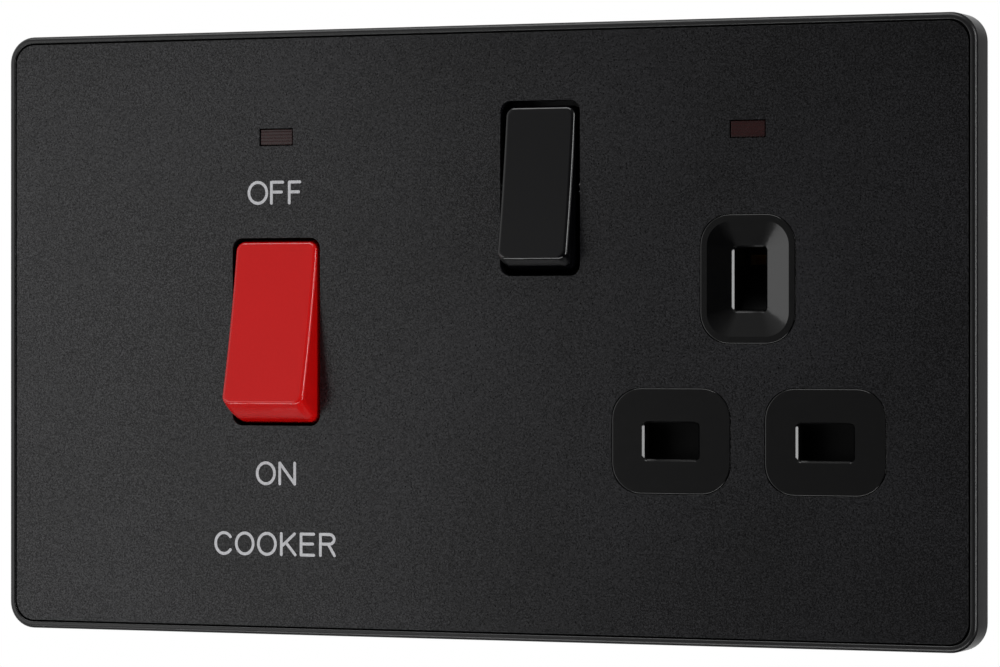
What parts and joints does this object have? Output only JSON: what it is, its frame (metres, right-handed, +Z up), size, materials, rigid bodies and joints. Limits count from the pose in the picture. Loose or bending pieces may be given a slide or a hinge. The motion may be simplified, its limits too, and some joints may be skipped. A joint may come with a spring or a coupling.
{
  "type": "cooker control unit",
  "caption": "Double wall plate with a large red two-pole cooker rocker switch, a switched three-pin socket outlet and neon windows.",
  "frame": {"origin": "midway between the two wall screw holes, on the wall plane", "axes": "+X right, +Y into the wall, +Z up; the front faces -Y"},
  "size_m": [0.146, 0.0345, 0.086],
  "materials": {
    "sheet_black": "fine matt grain",
    "frame_black": "satin moulded",
    "moulding_black": "gloss moulded",
    "rocker_red": "satin moulded",
    "rocker_black": "satin moulded",
    "cover_black": "satin moulded",
    "shutter_black": "satin moulded",
    "lens_red": "clear dark tint",
    "plunger_white": "nylon",
    "brass": "pressed strip",
    "contact_copper": "pressed strip with silver rivet",
    "steel": "plated",
    "spring_steel": "drawn wire",
    "lamp_glass": "clear",
    "resistor_blue": "lacquered"
  },
  "bodies": {
    "housing": {"front_plate": "sheet_black", "clip_on_frame": "frame_black", "front_moulding": "moulding_black", "rear_cover": "cover_black", "shutter_spring": "spring_steel", "cooker_supply_terminal_line": "brass", "cooker_supply_terminal_neutral": "brass", "cooker_load_terminal_line": "brass", "cooker_load_terminal_neutral": "brass", "earth_terminal": "brass", "line_busbar": "brass", "neutral_busbar": "brass", "socket_load_strip": "brass", "line_contact": "brass", "neutral_contact": "brass", "earth_contact": "brass", "cooker_neon_lens": "lens_red", "socket_neon_lens": "lens_red", "cooker_neon_lamp": "lamp_glass", "socket_neon_lamp": "lamp_glass", "cooker_resistor": "resistor_blue", "socket_resistor": "resistor_blue", "terminal_screws": "steel", "housing_screws": "steel"},
    "cooker_switch": {"cooker_rocker": "rocker_red", "cooker_spring_line": "spring_steel", "cooker_spring_neutral": "spring_steel"},
    "socket_switch": {"socket_rocker": "rocker_black", "socket_spring": "spring_steel"},
    "cooker_plunger_line_body": {"cooker_plunger_line": "plunger_white"},
    "cooker_plunger_neutral_body": {"cooker_plunger_neutral": "plunger_white"},
    "socket_plunger_body": {"socket_plunger": "plunger_white"},
    "cooker_arm_line": {"cooker_moving_contact_line": "contact_copper"},
    "cooker_arm_neutral": {"cooker_moving_contact_neutral": "contact_copper"},
    "socket_arm": {"socket_moving_contact": "contact_copper"},
    "shutter_body": {"shutter": "shutter_black"}
  },
  "joints": [
    {"name": "cooker_rocker_tilt", "type": "hinge", "parent": "housing", "child": "cooker_switch", "pos_m": [-0.03015, -0.0022, 0.0001], "axis": [1, 0, 0], "range_deg": [0, 25.2]},
    {"name": "socket_rocker_tilt", "type": "hinge", "parent": "housing", "child": "socket_switch", "pos_m": [0.01021, -0.003, 0.02007], "axis": [1, 0, 0], "range_deg": [0, 18.8]},
    {"name": "cooker_contact_line_rock", "type": "hinge", "parent": "housing", "child": "cooker_arm_line", "pos_m": [-0.02705, 0.01251, 0.0001], "axis": [1, 0, 0], "range_deg": [-16, 0]},
    {"name": "cooker_contact_neutral_rock", "type": "hinge", "parent": "housing", "child": "cooker_arm_neutral", "pos_m": [-0.03325, 0.01251, 0.0001], "axis": [1, 0, 0], "range_deg": [-16, 0]},
    {"name": "socket_contact_rock", "type": "hinge", "parent": "housing", "child": "socket_arm", "pos_m": [0.01021, 0.01256, 0.02007], "axis": [1, 0, 0], "range_deg": [-14, 0]},
    {"name": "cooker_plunger_line_slide", "type": "slide", "parent": "cooker_switch", "child": "cooker_plunger_line_body", "axis": [0, -0.9759, 0.2181], "range_m": [0, 0.0012], "stiffness_N_per_m": 800, "springref_m": -0.002, "deforming": ["cooker_spring_line"]},
    {"name": "cooker_plunger_neutral_slide", "type": "slide", "parent": "cooker_switch", "child": "cooker_plunger_neutral_body", "axis": [0, -0.9759, 0.2181], "range_m": [0, 0.0012], "stiffness_N_per_m": 800, "springref_m": -0.002, "deforming": ["cooker_spring_neutral"]},
    {"name": "socket_plunger_slide", "type": "slide", "parent": "socket_switch", "child": "socket_plunger_body", "axis": [0, -0.9866, 0.1633], "range_m": [0, 0.0012], "stiffness_N_per_m": 800, "springref_m": -0.002, "deforming": ["socket_spring"]},
    {"name": "shutter_slide", "type": "slide", "parent": "housing", "child": "shutter_body", "axis": [0, 0, -1], "range_m": [0, 0.0062], "stiffness_N_per_m": 80, "springref_m": -0.003, "deforming": ["shutter_spring"]}
  ],
  "couplings": [
    {"joint": "cooker_contact_line_rock", "follows": "cooker_rocker_tilt", "ratio": -0.63492},
    {"joint": "cooker_contact_neutral_rock", "follows": "cooker_rocker_tilt", "ratio": -0.63492},
    {"joint": "socket_contact_rock", "follows": "socket_rocker_tilt", "ratio": -0.74468}
  ]
}
